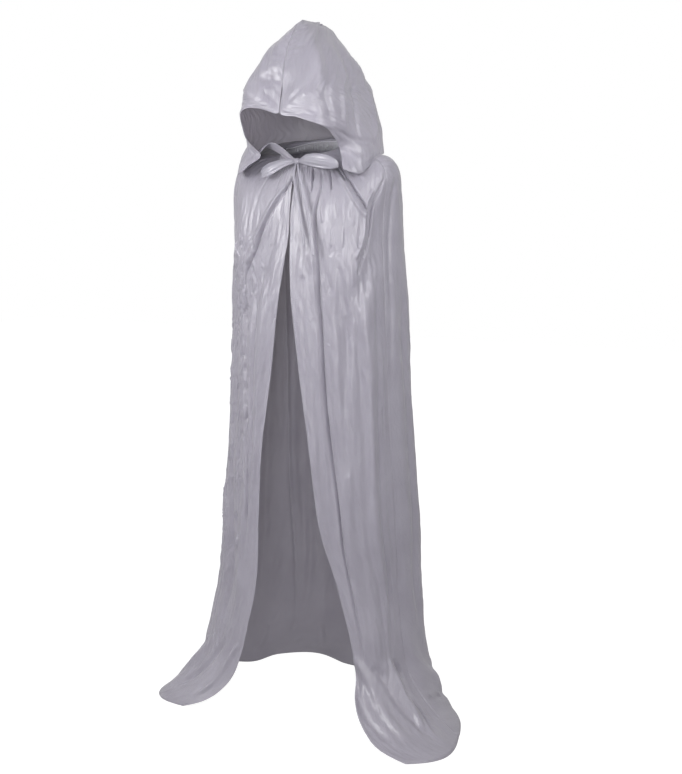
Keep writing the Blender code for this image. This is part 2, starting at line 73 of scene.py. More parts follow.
def woven(name, dark, light, roughness, crush, sheen, through):
    """Satin in a range of colour, with bump from its crush and its fine lengthwise streaks. The crush is
    deeper where the piece's own attribute says so. Light passes through by the share given last."""
    material = bpy.data.materials.new(name)
    material.use_nodes = True
    nodes = material.node_tree.nodes
    shader = nodes["Principled BSDF"]
    cloth = add_node(material, "ShaderNodeUVMap", uv_map="cloth").outputs["UV"]
    long_grain = add_node(material, "ShaderNodeMapping", {
        "Vector": cloth, "Scale": (1.0, 0.42, 1.0)}).outputs[0]
    crinkle = add_node(material, "ShaderNodeTexNoise", {
        "Vector": long_grain, "Scale": CRINKLES, "Detail": 3.0, "Roughness": 0.55, "Distortion": 1.4})
    folds = add_node(material, "ShaderNodeTexVoronoi", {
        "Vector": long_grain, "Scale": SMALL_FOLDS, "Randomness": 1.0}, feature="SMOOTH_F1")
    streaks_at = add_node(material, "ShaderNodeMapping", {
        "Vector": cloth, "Scale": (1.0, 0.05, 1.0)}).outputs[0]
    streaks = add_node(material, "ShaderNodeTexNoise", {
        "Vector": streaks_at, "Scale": STREAKS, "Detail": 2.0})
    patches = add_node(material, "ShaderNodeTexNoise", {"Vector": cloth, "Scale": TONES, "Detail": 2.0})
    mixed = add_node(material, "ShaderNodeMath", {0: crinkle.outputs["Fac"], 1: folds.outputs["Distance"]},
                     operation="ADD")
    here = add_node(material, "ShaderNodeAttribute", attribute_name="crush").outputs["Fac"]
    depth = add_node(material, "ShaderNodeMath", {0: here, 1: CRUSH_EVERYWHERE}, operation="ADD")
    height = add_node(material, "ShaderNodeMath", {0: mixed.outputs[0], 1: depth.outputs[0]},
                      operation="MULTIPLY")
    crushed = add_node(material, "ShaderNodeBump", {
        "Strength": crush, "Distance": 0.0030, "Height": height.outputs[0]})
    thread = add_node(material, "ShaderNodeBump", {
        "Strength": 0.10, "Distance": 0.0004, "Height": streaks.outputs["Fac"], "Normal": crushed.outputs[0]})
    tone = add_node(material, "ShaderNodeMix", {
        "Factor": patches.outputs["Fac"], "A": linear(dark), "B": linear(light)}, data_type="RGBA")
    material.node_tree.links.new(tone.outputs["Result"], shader.inputs["Base Color"])
    material.node_tree.links.new(thread.outputs[0], shader.inputs["Normal"])
    shader.inputs["Roughness"].default_value = roughness
    shader.inputs["Anisotropic"].default_value = 0.45
    shader.inputs["Sheen Weight"].default_value = sheen
    shader.inputs["Sheen Roughness"].default_value = 0.45
    shader.inputs["Specular IOR Level"].default_value = 0.62
    shader.inputs["Subsurface Weight"].default_value = through
    shader.inputs["Subsurface Radius"].default_value = (1.0, 0.94, 0.96)
    shader.inputs["Subsurface Scale"].default_value = 0.007
    return material


# The face is smooth and glossy, the wrong side is duller and a little darker.
satin_face = woven("Crushed silver satin", "#8C8894", "#A09CA8", 0.34, 0.85, 0.20, 0.50)
satin_back = woven("Satin wrong side", "#868390", "#9895A1", 0.55, 0.30, 0.10, 0.50)


# Cape: a left front, a back and a right front in one thickness of satin, sewn at the sides and gathered into
# the neck casing. They hang from the shoulders, open down the front, and the hem lies spread on the floor.
NECK_HEIGHT = 1.480
SIDE_SEAM = 100.0
SHOULDER_RIDGE = 3.0
SATIN_THICK = 0.0008

# Half widths on the wearer's right and left, reach to the front and back, squareness of the front and back
# corners, distance of each front edge from the middle, height above the floor at the front, sides and back,
# and the share of the way from an upright fall to the spread hem, from the neck to the hem.
Section = namedtuple("Section", "right left front back square_front square_back edge_right edge_left "
                                "at_front at_side at_back spread")
CAPE = [
    Section(0.0885, 0.0885, 0.0885, 0.086, 2.0, 2.0, 0.0030, 0.0030, 1.469, 1.503, 1.525, 0.0),
    Section(0.0920, 0.0920, 0.0920, 0.090, 2.0, 2.0, 0.0030, 0.0030, 1.455, 1.493, 1.512, 0.0),
    Section(0.1150, 0.1150, 0.1010, 0.099, 2.0, 2.0, 0.0030, 0.0030, 1.436, 1.491, 1.497, 0.0),
    Section(0.1600, 0.1640, 0.1150, 0.113, 2.1, 2.1, 0.0030, 0.0030, 1.395, 1.490, 1.460, 0.0),
    Section(0.2010, 0.2140, 0.1280, 0.127, 2.2, 2.2, 0.0025, 0.0025, 1.343, 1.480, 1.410, 0.0),
    Section(0.2250, 0.2390, 0.1350, 0.138, 2.3, 2.2, 0.0010, 0.0045, 1.285, 1.448, 1.350, 0.0),
    Section(0.2350, 0.2430, 0.1410, 0.147, 2.3, 2.2, 0.0115, 0.0060, 1.210, 1.360, 1.265, 0.0),
    Section(0.2380, 0.2490, 0.1460, 0.155, 2.3, 2.2, 0.0280, 0.0150, 1.099, 1.200, 1.129, 0.0),
    Section(0.2410, 0.2590, 0.1500, 0.165, 2.3, 2.2, 0.0480, 0.0380, 0.927, 0.978, 0.937, 0.0),
    Section(0.2530, 0.2720, 0.1580, 0.176, 2.3, 2.2, 0.0730, 0.0700, 0.723, 0.743, 0.723, 0.0),
    Section(0.2690, 0.2890, 0.1650, 0.187, 2.3, 2.2, 0.0820, 0.1010, 0.536, 0.536, 0.536, 0.0),
    Section(0.2860, 0.2980, 0.1730, 0.197, 2.3, 2.2, 0.0850, 0.1500, 0.357, 0.357, 0.357, 0.0),
    Section(0.3040, 0.3060, 0.1830, 0.207, 2.4, 2.2, 0.1080, 0.1880, 0.235, 0.235, 0.235, 0.02),
    Section(0.3200, 0.3160, 0.1920, 0.216, 2.4, 2.2, 0.1260, 0.2080, 0.153, 0.153, 0.153, 0.06),
    Section(0.3270, 0.3240, 0.1990, 0.224, 2.5, 2.2, 0.1420, 0.2300, 0.098, 0.098, 0.098, 0.22),
    Section(0.3300, 0.3300, 0.2050, 0.230, 2.6, 2.2, 0.1720, 0.2680, 0.056, 0.056, 0.056, 0.46),
    Section(0.3300, 0.3350, 0.2100, 0.236, 2.8, 2.2, 0.2180, 0.3300, 0.023, 0.023, 0.023, 0.76),
    Section(0.3300, 0.3400, 0.2150, 0.240, 3.0, 2.2, 0.2780, 0.4200, 0.000, 0.000, 0.000, 1.0),
]

# The spread hem on the floor: bearing from the middle of the back, positive to the wearer's left, and reach.
HemPoint = namedtuple("HemPoint", "bearing reach")
HEM = [
    HemPoint(-180.0, 0.250), HemPoint(-150.0, 0.300), HemPoint(-135.0, 0.354), HemPoint(-122.0, 0.430),
    HemPoint(-98.0, 0.428), HemPoint(-80.0, 0.432), HemPoint(-67.0, 0.338), HemPoint(-48.0, 0.356),
    HemPoint(-30.0, 0.345), HemPoint(-12.0, 0.268), HemPoint(6.0, 0.262), HemPoint(33.0, 0.357),
    HemPoint(50.0, 0.350), HemPoint(66.0, 0.350), HemPoint(82.0, 0.410), HemPoint(98.0, 0.470),
    HemPoint(116.0, 0.535), HemPoint(126.0, 0.505), HemPoint(145.0, 0.370), HemPoint(180.0, 0.270),
]

# The largest folds: bearing at the top, halfway and at the hem, the heights between which they show, half
# width, and depth, outward if positive.
Fold = namedtuple("Fold", "top_bearing mid_bearing hem_bearing top bottom half_width depth")
FOLDS = [
    Fold(152, 141, 126, 1.34, 0.03, 0.030, -0.0150), Fold(163, 154, 140, 1.26, 0.20, 0.028, 0.0080),
    Fold(134, 126, 118, 1.22, 0.25, 0.030, -0.0080), Fold(100, 102, 103, 1.42, 0.02, 0.034, -0.0170),
    Fold(96, 110, 122, 1.41, 1.06, 0.026, -0.0100), Fold(76, 78, 80, 1.28, 0.20, 0.034, 0.0080),
    Fold(52, 54, 57, 1.30, 0.02, 0.036, -0.0140), Fold(30, 30, 30, 1.32, 0.10, 0.034, 0.0100),
    Fold(8, 7, 4, 1.34, 0.02, 0.036, -0.0140), Fold(-18, -20, -24, 1.32, 0.10, 0.034, 0.0090),
    Fold(-46, -50, -52, 1.36, 0.02, 0.034, -0.0150), Fold(-72, -74, -78, 1.28, 0.15, 0.034, 0.0080),
    Fold(-100, -98, -94, 1.40, 0.10, 0.034, -0.0130), Fold(-178, -152, -132, 1.41, 1.04, 0.026, -0.0100),
    Fold(-128, -127, -124, 1.22, 0.15, 0.030, -0.0080), Fold(-146, -142, -136, 1.18, 0.25, 0.030, 0.0080),
]


def smooth_curve(stations, values, where):
    """A cubic through (station, value) pairs, with the slope at each taken from its neighbours."""
    stations = np.asarray(stations, float)
    values = np.asarray(values, float)
    slopes = np.gradient(values, stations)
    where = np.clip(where, stations[0], stations[-1])
    index = np.clip(np.searchsorted(stations, where) - 1, 0, len(stations) - 2)
    span = stations[index + 1] - stations[index]
    part = (where - stations[index]) / span
    start, end = values[index], values[index + 1]
    leave, arrive = slopes[index] * span, slopes[index + 1] * span
    return (start * (1 + 2 * part) * (1 - part) ** 2 + leave * part * (1 - part) ** 2
            + end * part ** 2 * (3 - 2 * part) - arrive * part ** 2 * (1 - part))


def fold_reach(bearing, height, reach):
    """How far the largest folds move the cloth: depth times exp(-(distance from the fold / half width)^2)."""
    moved = np.zeros_like(bearing)
    for fold in FOLDS:
        line = smooth_curve([fold.bottom, (fold.top + fold.bottom) / 2, fold.top],
                            [fold.hem_bearing, fold.mid_bearing, fold.top_bearing], height)
        away = np.radians(bearing - line) * reach
        rise = np.clip((fold.top - height) / 0.16, 0, 1) * np.clip((height - fold.bottom) / 0.10, 0, 1)
        moved += fold.depth * rise * np.exp(-(away / fold.half_width) ** 2)
    return moved


def superellipse(bearing, width, depth, square):
    """Reach at a bearing: (|sin b / width|^square + |cos b / depth|^square)^(-1 / square)."""
    turn = np.radians(bearing)
    across, along = np.abs(np.sin(turn) / width), np.abs(np.cos(turn) / depth)
    return (across ** square + along ** square) ** (-1.0 / square)


def cape_surface(bearing, row):
    """The point of the cape at a bearing and a row of the table: a superellipse that blends into the spread
    hem, at the height of the shoulder line between front, side and back, with the large folds pressed in."""
    at = {name: smooth_curve(np.arange(len(CAPE)), column, row)
          for name, column in zip(Section._fields, zip(*CAPE))}
    front = np.abs(bearing) > 90
    width = np.where(bearing < 0, at["right"], at["left"])
    depth = np.where(front, at["front"], at["back"])
    upright = superellipse(bearing, width, depth, np.where(front, at["square_front"], at["square_back"]))
    hem = smooth_curve([p.bearing for p in HEM], [p.reach for p in HEM], bearing)
    side = np.minimum(np.abs(upright * np.sin(np.radians(bearing)) / width), 1.0) ** SHOULDER_RIDGE
    height = at["at_side"] * side + np.where(front, at["at_front"], at["at_back"]) * (1 - side)
    reach = upright * (1 - at["spread"]) + hem * at["spread"]
    reach = reach + fold_reach(bearing, height, reach)
    turn = np.radians(bearing)
    return np.stack([reach * np.sin(turn), reach * np.cos(turn), height - NECK_HEIGHT], axis=-1)


def gone(points, axis):
    """Distance covered along one direction of a grid of points, from its first line."""
    steps = np.linalg.norm(np.diff(points, axis=axis), axis=-1)
    start = np.zeros_like(np.take(steps, [0], axis=axis))
    return np.concatenate([start, np.cumsum(steps, axis=axis)], axis=axis)


def rows_by_length(surface, sections, probes, count):
    """Rows of a surface, count of them, by its mean length down the probes: closer where the gathers are."""
    row = np.linspace(0, sections - 1, 20 * sections)[:, None]
    length = gone(surface(np.array(probes, float)[None, :] + 0 * row, row), 0).mean(axis=1)
    return np.interp(length[-1] * np.linspace(0, 1, count) ** 1.3, length, row[:, 0])[:, None]


def front_edge(row, side):
    """Bearing of a front edge in each row: where the cloth is as far from the middle as the table says."""
    dense = np.linspace(90.0, 180.0, 361)[None, :] + 0 * row
    away = side * cape_surface(side * dense, row)[..., 0]
    column = [s.edge_left if side > 0 else s.edge_right for s in CAPE]
    wanted = smooth_curve(np.arange(len(CAPE)), column, row[:, 0])
    return np.array([side * np.interp(-edge, -x, b) for edge, x, b in zip(wanted, away, dense)])[:, None]


def columns_between(start, stop, row, count, band):
    """Bearings from start to stop in each row: the first at the distances of band, the rest spaced evenly."""
    dense = start + (stop - start) * np.linspace(0, 1, 241)[None, :]
    along = gone(cape_surface(dense, row), 1)
    return np.array([np.interp(np.concatenate([band[:-1], np.linspace(band[-1], s[-1], count)]), s, b)
                     for s, b in zip(along, dense)])


def outward(points):
    """Unit normals of a grid, from the cross product of its two directions, away from the neck's axis."""
    normal = np.cross(np.gradient(points, axis=1), np.gradient(points, axis=0))
    normal /= np.linalg.norm(normal, axis=-1, keepdims=True)
    middle = normal[normal.shape[0] // 2] * points[points.shape[0] // 2]
    return normal * np.sign(middle[:, :2].sum())


def gathers(bearing, below, seed, count=76):
    """Gathers of the neckline: narrow uneven slits with soft ridges between them, deepest a little below the
    seam and dying out down the chest and shoulders, some of them sooner than others."""
    chance = np.random.default_rng(seed)
    spacing = 360.0 / count
    moved = np.zeros_like(bearing)
    for middle in np.arange(-180.0, 180.0, spacing):
        middle += chance.uniform(-0.35, 0.35) * spacing
        half = spacing * chance.uniform(0.14, 0.28)
        depth = chance.uniform(0.0010, 0.0052)
        length = chance.choice([0.035, 0.06, 0.10, 0.16], p=[0.35, 0.40, 0.20, 0.05])
        lean = chance.uniform(-14.0, 14.0)
        away = bearing - middle - lean * below
        strength = np.clip(below / 0.026, 0.12, 1) * np.exp(-(below / length) ** 2)
        moved -= depth * strength * np.exp(-(away / (half * (1 + below))) ** 2)
    return moved + 0.0012 * np.exp(-((below - 0.05) / 0.05) ** 2)


def ripples(across, down, seed, height, widths, lengths, count=14):
    """Unevenness of soft cloth: a sum of sine waves of random width, length and phase, long down it."""
    chance = np.random.default_rng(seed)
    moved = np.zeros_like(across)
    for _ in range(count):
        wave = 2 * pi / chance.uniform(*widths)
        rise = 2 * pi / chance.uniform(*lengths) * chance.choice([-1, 1])
        moved += np.sin(wave * across + rise * down + chance.uniform(0, 2 * pi))
    return moved * height / count ** 0.5


# A crease follows a smooth line through places on the cloth, each a bearing and a height from the neck. It
# is pressed in where its depth is negative.
Crease = namedtuple("Crease", "path half_width depth")


def crease_reach(across, down, cells, crease):
    """One soft crease over a grid: depth * (1 - q / 2) * exp(-q), q the squared distance in half widths from
    a smooth line through the grid's cells, fading out at both ends."""
    knots = np.array([(across[cell], down[cell]) for cell in cells])
    where = np.linspace(0, len(knots) - 1, 5 * len(knots))
    line = np.column_stack([smooth_curve(np.arange(len(knots)), column, where) for column in knots.T])
    margin = 3.0 * crease.half_width
    near = ((across > line[:, 0].min() - margin) & (across < line[:, 0].max() + margin)
            & (down > line[:, 1].min() - margin) & (down < line[:, 1].max() + margin))
    px, py = across[near][:, None], down[near][:, None]
    ax, ay = line[:-1].T
    dx, dy = np.diff(line, axis=0).T
    share = np.clip(((px - ax) * dx + (py - ay) * dy) / (dx ** 2 + dy ** 2 + 1e-12), 0, 1)
    apart = np.hypot(px - ax - share * dx, py - ay - share * dy)
    best = apart.argmin(axis=1)
    pick = np.arange(len(best)), best
    travelled = (best + share[pick]) / len(dx)
    q = (apart[pick] / crease.half_width) ** 2
    fade = np.sqrt(np.clip(8 * travelled * (1 - travelled), 0, 1))
    moved = np.zeros_like(across)
    moved[near] = crease.depth * (1 - q / 2) * np.exp(-q) * fade
    return moved


def cloth_piece(name, points, materials, thickness=SATIN_THICK, crush=None):
    """A grid of points as a thin shell of cloth, with its UV in metres across and down the cloth, and how
    crushed it is at each point."""
    rows, columns = points.shape[:2]
    index = np.arange(rows * columns).reshape(rows, columns)
    quads = np.stack([index[:-1, :-1], index[1:, :-1], index[1:, 1:], index[:-1, 1:]], axis=-1).reshape(-1, 4)
    mesh = bpy.data.meshes.new(name)
    mesh.from_pydata(points.reshape(-1, 3).tolist(), [], quads.tolist())
    uv = np.stack([gone(points, 1), -gone(points, 0)], axis=-1).reshape(-1, 2)
    loops = np.zeros(len(mesh.loops), dtype=int)
    mesh.loops.foreach_get("vertex_index", loops)
    mesh.uv_layers.new(name="cloth").data.foreach_set("uv", uv[loops].ravel())
    crushed = mesh.attributes.new("crush", "FLOAT", "POINT")
    crushed.data.foreach_set("value", np.ravel(np.full(points.shape[:2], 0.2) if crush is None else crush))
    facing = np.cross(points[0, 1] - points[0, 0], points[1, 0] - points[0, 0])
    normal = outward(points)[0, 0]
    if np.dot(facing, normal) > 0:
        mesh.flip_normals()
    mesh.shade_smooth()
    for material in materials:
        mesh.materials.append(material)
    piece = bpy.data.objects.new(name, mesh)
    bpy.context.scene.collection.objects.link(piece)
    shell = piece.modifiers.new("Thickness", "SOLIDIFY")
    shell.thickness = thickness
    shell.offset = -1.0
    shell.material_offset = 1
    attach(piece, "root")
    return piece


CREASES_LEFT_FRONT = [
    # The long fold from the neck to the hem beside the front edge, and the ridge along it.
    Crease(((139.9, -.035), (143.1, -.075), (149.7, -.130), (150.2, -.170), (149.2, -.213), (147, -.26),
            (145.3, -.36), (143.3, -.46), (141.5, -.59), (137.2, -.76), (132.2, -.93), (128.1, -1.08),
            (123, -1.30)), .0042, -.0085),
    Crease(((156, -.20), (151.5, -.30), (148.5, -.46), (146, -.60), (142, -.76),
            (136.5, -.93)), .0110, .0050),
    # Deep slits and the fold from the neck to the arm.
    Crease(((151.0, -.028), (152.5, -.060), (154.4, -.088)), .0032, -.0080),
    Crease(((130.2, -.032), (132.4, -.062), (133.6, -.085)), .0032, -.0075),
    Crease(((123.4, -.024), (121.2, -.060)), .0030, -.0062),
    Crease(((120, -.028), (118.3, -.087), (115.2, -.118), (112.8, -.138)), .0036, -.0100),
    Crease(((123.5, -.050), (121.0, -.095), (116.5, -.136), (113.2, -.150)), .0050, .0055),
    Crease(((99, -.046), (105.2, -.087), (108.5, -.115), (109.6, -.145), (110.5, -.198), (113, -.235),
            (116.5, -.264), (119, -.300)), .0060, -.0075),
    Crease(((108.5, -.082), (112.5, -.115), (113.8, -.150), (114.8, -.198), (117.5, -.232),
            (120.5, -.258)), .0080, .0050),
    Crease(((117.8, -.205), (115.5, -.235), (113.8, -.262)), .0032, .0030),
    Crease(((120.0, -.222), (117.5, -.250), (117.0, -.278)), .0032, .0026),
    # Small bright streaks below the gathers.
    Crease(((135.4, -.180), (136.0, -.228)), .0040, .0022),
    Crease(((125.8, -.122), (126.7, -.170)), .0036, .0022),
    Crease(((131.0, -.098), (131.6, -.156)), .0040, .0020),
    Crease(((141.5, -.105), (143.2, -.165)), .0045, .0020),
    Crease(((127.5, -.180), (128.4, -.230)), .0042, .0026),
    Crease(((104, -.640), (104, -.730)), .0045, -.0022),
    # Broad hanging folds.
    Crease(((125.7, -.40), (127.1, -.54), (128.7, -.66), (127, -.82)), .0170, -.0060),
    Crease(((134, -.24), (132.5, -.50), (128, -.80), (122, -1.15)), .0200, .0055),
    Crease(((121, -.32), (119, -.60), (116, -.95), (112.5, -1.30)), .0180, -.0065),
    Crease(((114.5, -.35), (112.8, -.70), (110, -1.10)), .0150, .0055),
    Crease(((106, -.30), (107, -.62), (107.5, -1.0), (108, -1.30)), .0130, -.0065),
    Crease(((163, -.30), (160, -.50), (157, -.75), (150, -1.0)), .0130, -.0045),
    # The hem where it spreads on the floor.
    Crease(((136, -1.31), (129, -1.39), (125, -1.452)), .0120, -.0080),
    Crease(((127, -1.29), (122, -1.37), (119, -1.450)), .0130, .0070),
    Crease(((119, -1.31), (114, -1.39), (111, -1.452)), .0110, -.0080),
    Crease(((142, -1.36), (138, -1.42), (136, -1.462)), .0100, .0055),
    Crease(((107.8, -1.30), (106.1, -1.372), (106.2, -1.410), (108.6, -1.448)), .0055, -.0100),
    Crease(((111.5, -1.30), (109.6, -1.372), (110.0, -1.412), (112.4, -1.448)), .0080, .0075),
]
CREASES_RIGHT_FRONT = [
    # The long fold from the neck across to the side, its ridge, and a short slit above it.
    Crease(((-177, -.048), (-172.5, -.069), (-161, -.110), (-152.6, -.153), (-147.5, -.182),
            (-140, -.245), (-132.4, -.290), (-129.5, -.335)), .0046, -.0085),
    Crease(((-171, -.072), (-157, -.113), (-148.5, -.158), (-142, -.195), (-134, -.252),
            (-127, -.300)), .0075, .0055),
    Crease(((-177, -.050), (-171, -.080), (-165.5, -.094)), .0030, -.0060),
    # The edge of the most crushed part.
    Crease(((-130, -.33), (-131.5, -.45), (-134, -.56), (-138, -.70), (-141, -.81),
            (-143, -1.0)), .0060, -.0055),
    Crease(((-126.5, -.34), (-128, -.45), (-130.3, -.56), (-134, -.70), (-137, -.81)), .0065, .0045),
    # Broad hanging folds.
    Crease(((-153, -.30), (-151, -.50), (-148, -.75), (-144, -1.05)), .0130, .0050),
    Crease(((-144, -.36), (-143, -.55), (-145, -.80), (-139, -1.12)), .0110, -.0050),
    Crease(((-118, -.30), (-119, -.60), (-121, -.95), (-124, -1.25)), .0150, -.0060),
    Crease(((-109, -.25), (-110, -.60), (-112, -1.0)), .0140, .0050),
    # The hem where it spreads on the floor.
    Crease(((-131, -1.31), (-126, -1.38), (-121, -1.440)), .0110, -.0075),
    Crease(((-121, -1.30), (-115, -1.38), (-110, -1.445)), .0120, .0065),
    Crease(((-112, -1.32), (-105, -1.40)), .0100, -.0060),
    Crease(((-142, -1.30), (-137, -1.38), (-133, -1.45)), .0100, .0055),
]
CREASES_BACK = [
    # The fold that shows inside, and those from the shoulders and the neck.
    Crease(((-56, -.20), (-55, -.40), (-53, -.64), (-49, -.95), (-45, -1.40)), .0042, .0100),
    Crease(((-50, -.22), (-49, -.50), (-47, -.80), (-42, -1.15)), .0120, -.0045),
    Crease(((92, -.055), (95, -.133), (96.6, -.30), (97.5, -.46), (98, -.90)), .0090, -.0070),
    Crease(((30, -.14), (28, -.30), (24, -.52)), .0120, .0060),
    Crease(((8, -.13), (7, -.32), (5, -.60)), .0110, -.0075),
    Crease(((-20, -.11), (-22, -.34), (-26, -.62)), .0120, .0060),
    Crease(((61, -.10), (57, -.28), (53, -.50)), .0110, -.0065),
    Crease(((-76, -.08), (-73, -.24), (-69, -.44)), .0100, -.0060),
    Crease(((76, -.08), (72, -.22), (68, -.40)), .0100, .0055),
    # Broad hanging folds down the back.
    Crease(((66, -.40), (64, -.75), (62, -1.15)), .0180, .0070),
    Crease(((42, -.34), (41, -.75), (42, -1.25)), .0150, -.0075),
    Crease(((17, -.36), (16, -.80), (13, -1.28)), .0150, -.0070),
    Crease(((-6, -.30), (-7, -.75), (-9, -1.20)), .0160, .0070),
    Crease(((-32, -.36), (-34, -.80), (-36, -1.30)), .0140, -.0070),
    Crease(((-64, -.34), (-64, -.80), (-66, -1.25)), .0150, .0070),
    Crease(((-84, -.30), (-85, -.70), (-88, -1.20)), .0140, -.0065),
    Crease(((84, -.35), (85, -.80), (86, -1.25)), .0150, -.0070),
    # Puckers of the spread hem.
    Crease(((70, -1.36), (72, -1.44)), .0110, .0060),
    Crease(((99.0, -1.400), (93, -1.412), (86, -1.418)), .0060, -.0090),
    Crease(((38, -1.36), (40, -1.44)), .0110, -.0060),
    Crease(((-28, -1.36), (-27, -1.44)), .0110, .0060),
    Crease(((-60, -1.35), (-63, -1.44)), .0110, -.0060),
    Crease(((-86, -1.34), (-90, -1.44)), .0120, .0060),
]


def crinkles(seed, count, bearings, heights, depths=(0.0009, 0.0022)):
    """Small uneven creases of the crushed finish, scattered over part of a panel, most of them upright."""
    chance = np.random.default_rng(seed)
    made = []
    for _ in range(count):
        bearing, top = chance.uniform(*bearings), chance.uniform(*heights)
        drop, lean, bend = chance.uniform(0.014, 0.050), chance.uniform(-5, 5), chance.uniform(-2.4, 2.4)
        path = ((bearing, top), (bearing + lean / 2 + bend, top - drop / 2), (bearing + lean, top - drop))
        half_width = chance.uniform(0.0028, 0.0048)
        made.append(Crease(path, half_width, chance.choice([-1, 1]) * chance.uniform(*depths)))
    return made


# Distances of the grid lines beside a hemmed edge, close enough for its stitched groove to show.
HEM_BAND = np.array([0.0, 0.0025, 0.0050, 0.0075, 0.0100, 0.0125, 0.0160])
NO_BAND = np.array([0.0])
HEM_GROOVE = 0.0007
CRUSHED_BEARING = -124


def nearest(bearing, points, crease):
    """The grid cells nearest to the places of a crease."""
    cells = []
    for wanted, z in crease.path:
        away = (np.radians(bearing - wanted) * 0.25) ** 2 + (points[..., 2] - z) ** 2
        cells.append(np.unravel_index(away.argmin(), away.shape))
    return cells


def cape_panel(name, start, stop, row, count, band, creases, seed):
    """One panel: the surface between two bearings, with its gathers, creases and ripples along the normal,
    and a narrow hem pressed along each finished edge. The creases die out at the side seams."""
    bearing = columns_between(start, stop, row, count, band)
    points = cape_surface(bearing, row)
    across, down = gone(points, 1), gone(points, 0)
    hanging = np.clip((row - 2.5) / 4, 0, 1) * np.clip((17.2 - row) / 2, 0.2, 1)
    moved = ripples(across, down, seed, 0.0022, (0.05, 0.16), (0.35, 1.6)) * hanging
    moved += ripples(across, down, seed + 1, 0.0006, (0.014, 0.035), (0.05, 0.30)) * hanging
    for crease in creases:
        moved += crease_reach(across, down, nearest(bearing, points, crease), crease)
    clear_of_seam = np.clip((SIDE_SEAM - np.abs(bearing)) ** 2 / 12, 0, 1)
    moved = gathers(bearing, down, 5) + moved * clear_of_seam
    from_hem = down[-1:] - down
    stitched = np.exp(-((from_hem - 0.013) / 0.003) ** 2)
    if len(band) > 1:
        stitched = stitched + np.exp(-((across - 0.0100) / 0.0022) ** 2)
    moved -= HEM_GROOVE * stitched
    points = points + outward(points) * moved[..., None]
    points[..., 2] = np.maximum(points[..., 2], -NECK_HEIGHT + SATIN_THICK)
    lower = np.clip((-0.16 - points[..., 2]) / 0.10, 0, 1)
    crushed = 0.25 + 0.75 * np.exp(-((bearing - CRUSHED_BEARING) / 16) ** 2) * lower
    piece = cloth_piece(name + "_cloth", points, (satin_face, satin_back), crush=crushed)
    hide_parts(name)
    return piece


cape_rows = rows_by_length(cape_surface, len(CAPE), (-150, -90, -40, 0, 40, 90, 150), 270)
left_edge, right_edge = front_edge(cape_rows, 1), front_edge(cape_rows, -1)
side_seam = SIDE_SEAM + 0 * cape_rows
chest = crinkles(91, 8, (108, 160), (-.42, -.10), (0.0004, 0.0010))
most_crushed = crinkles(92, 150, (-138, -106), (-1.10, -.20), (0.0014, 0.0034))
beside_edge = crinkles(93, 20, (-170, -136), (-.80, -.12), (0.0006, 0.0016))
over_back = crinkles(94, 60, (-96, 96), (-1.15, -.12), (0.0006, 0.0018))
left_front = cape_panel("cape_left_front", left_edge, side_seam, cape_rows, 162, HEM_BAND,
                        CREASES_LEFT_FRONT + chest, 21)
right_front = cape_panel("cape_right_front", right_edge, -side_seam, cape_rows, 162, HEM_BAND,
                         CREASES_RIGHT_FRONT + most_crushed + beside_edge, 31)
back = cape_panel("cape_back", -side_seam, side_seam, cape_rows, 180, NO_BAND, CREASES_BACK + over_back, 41)


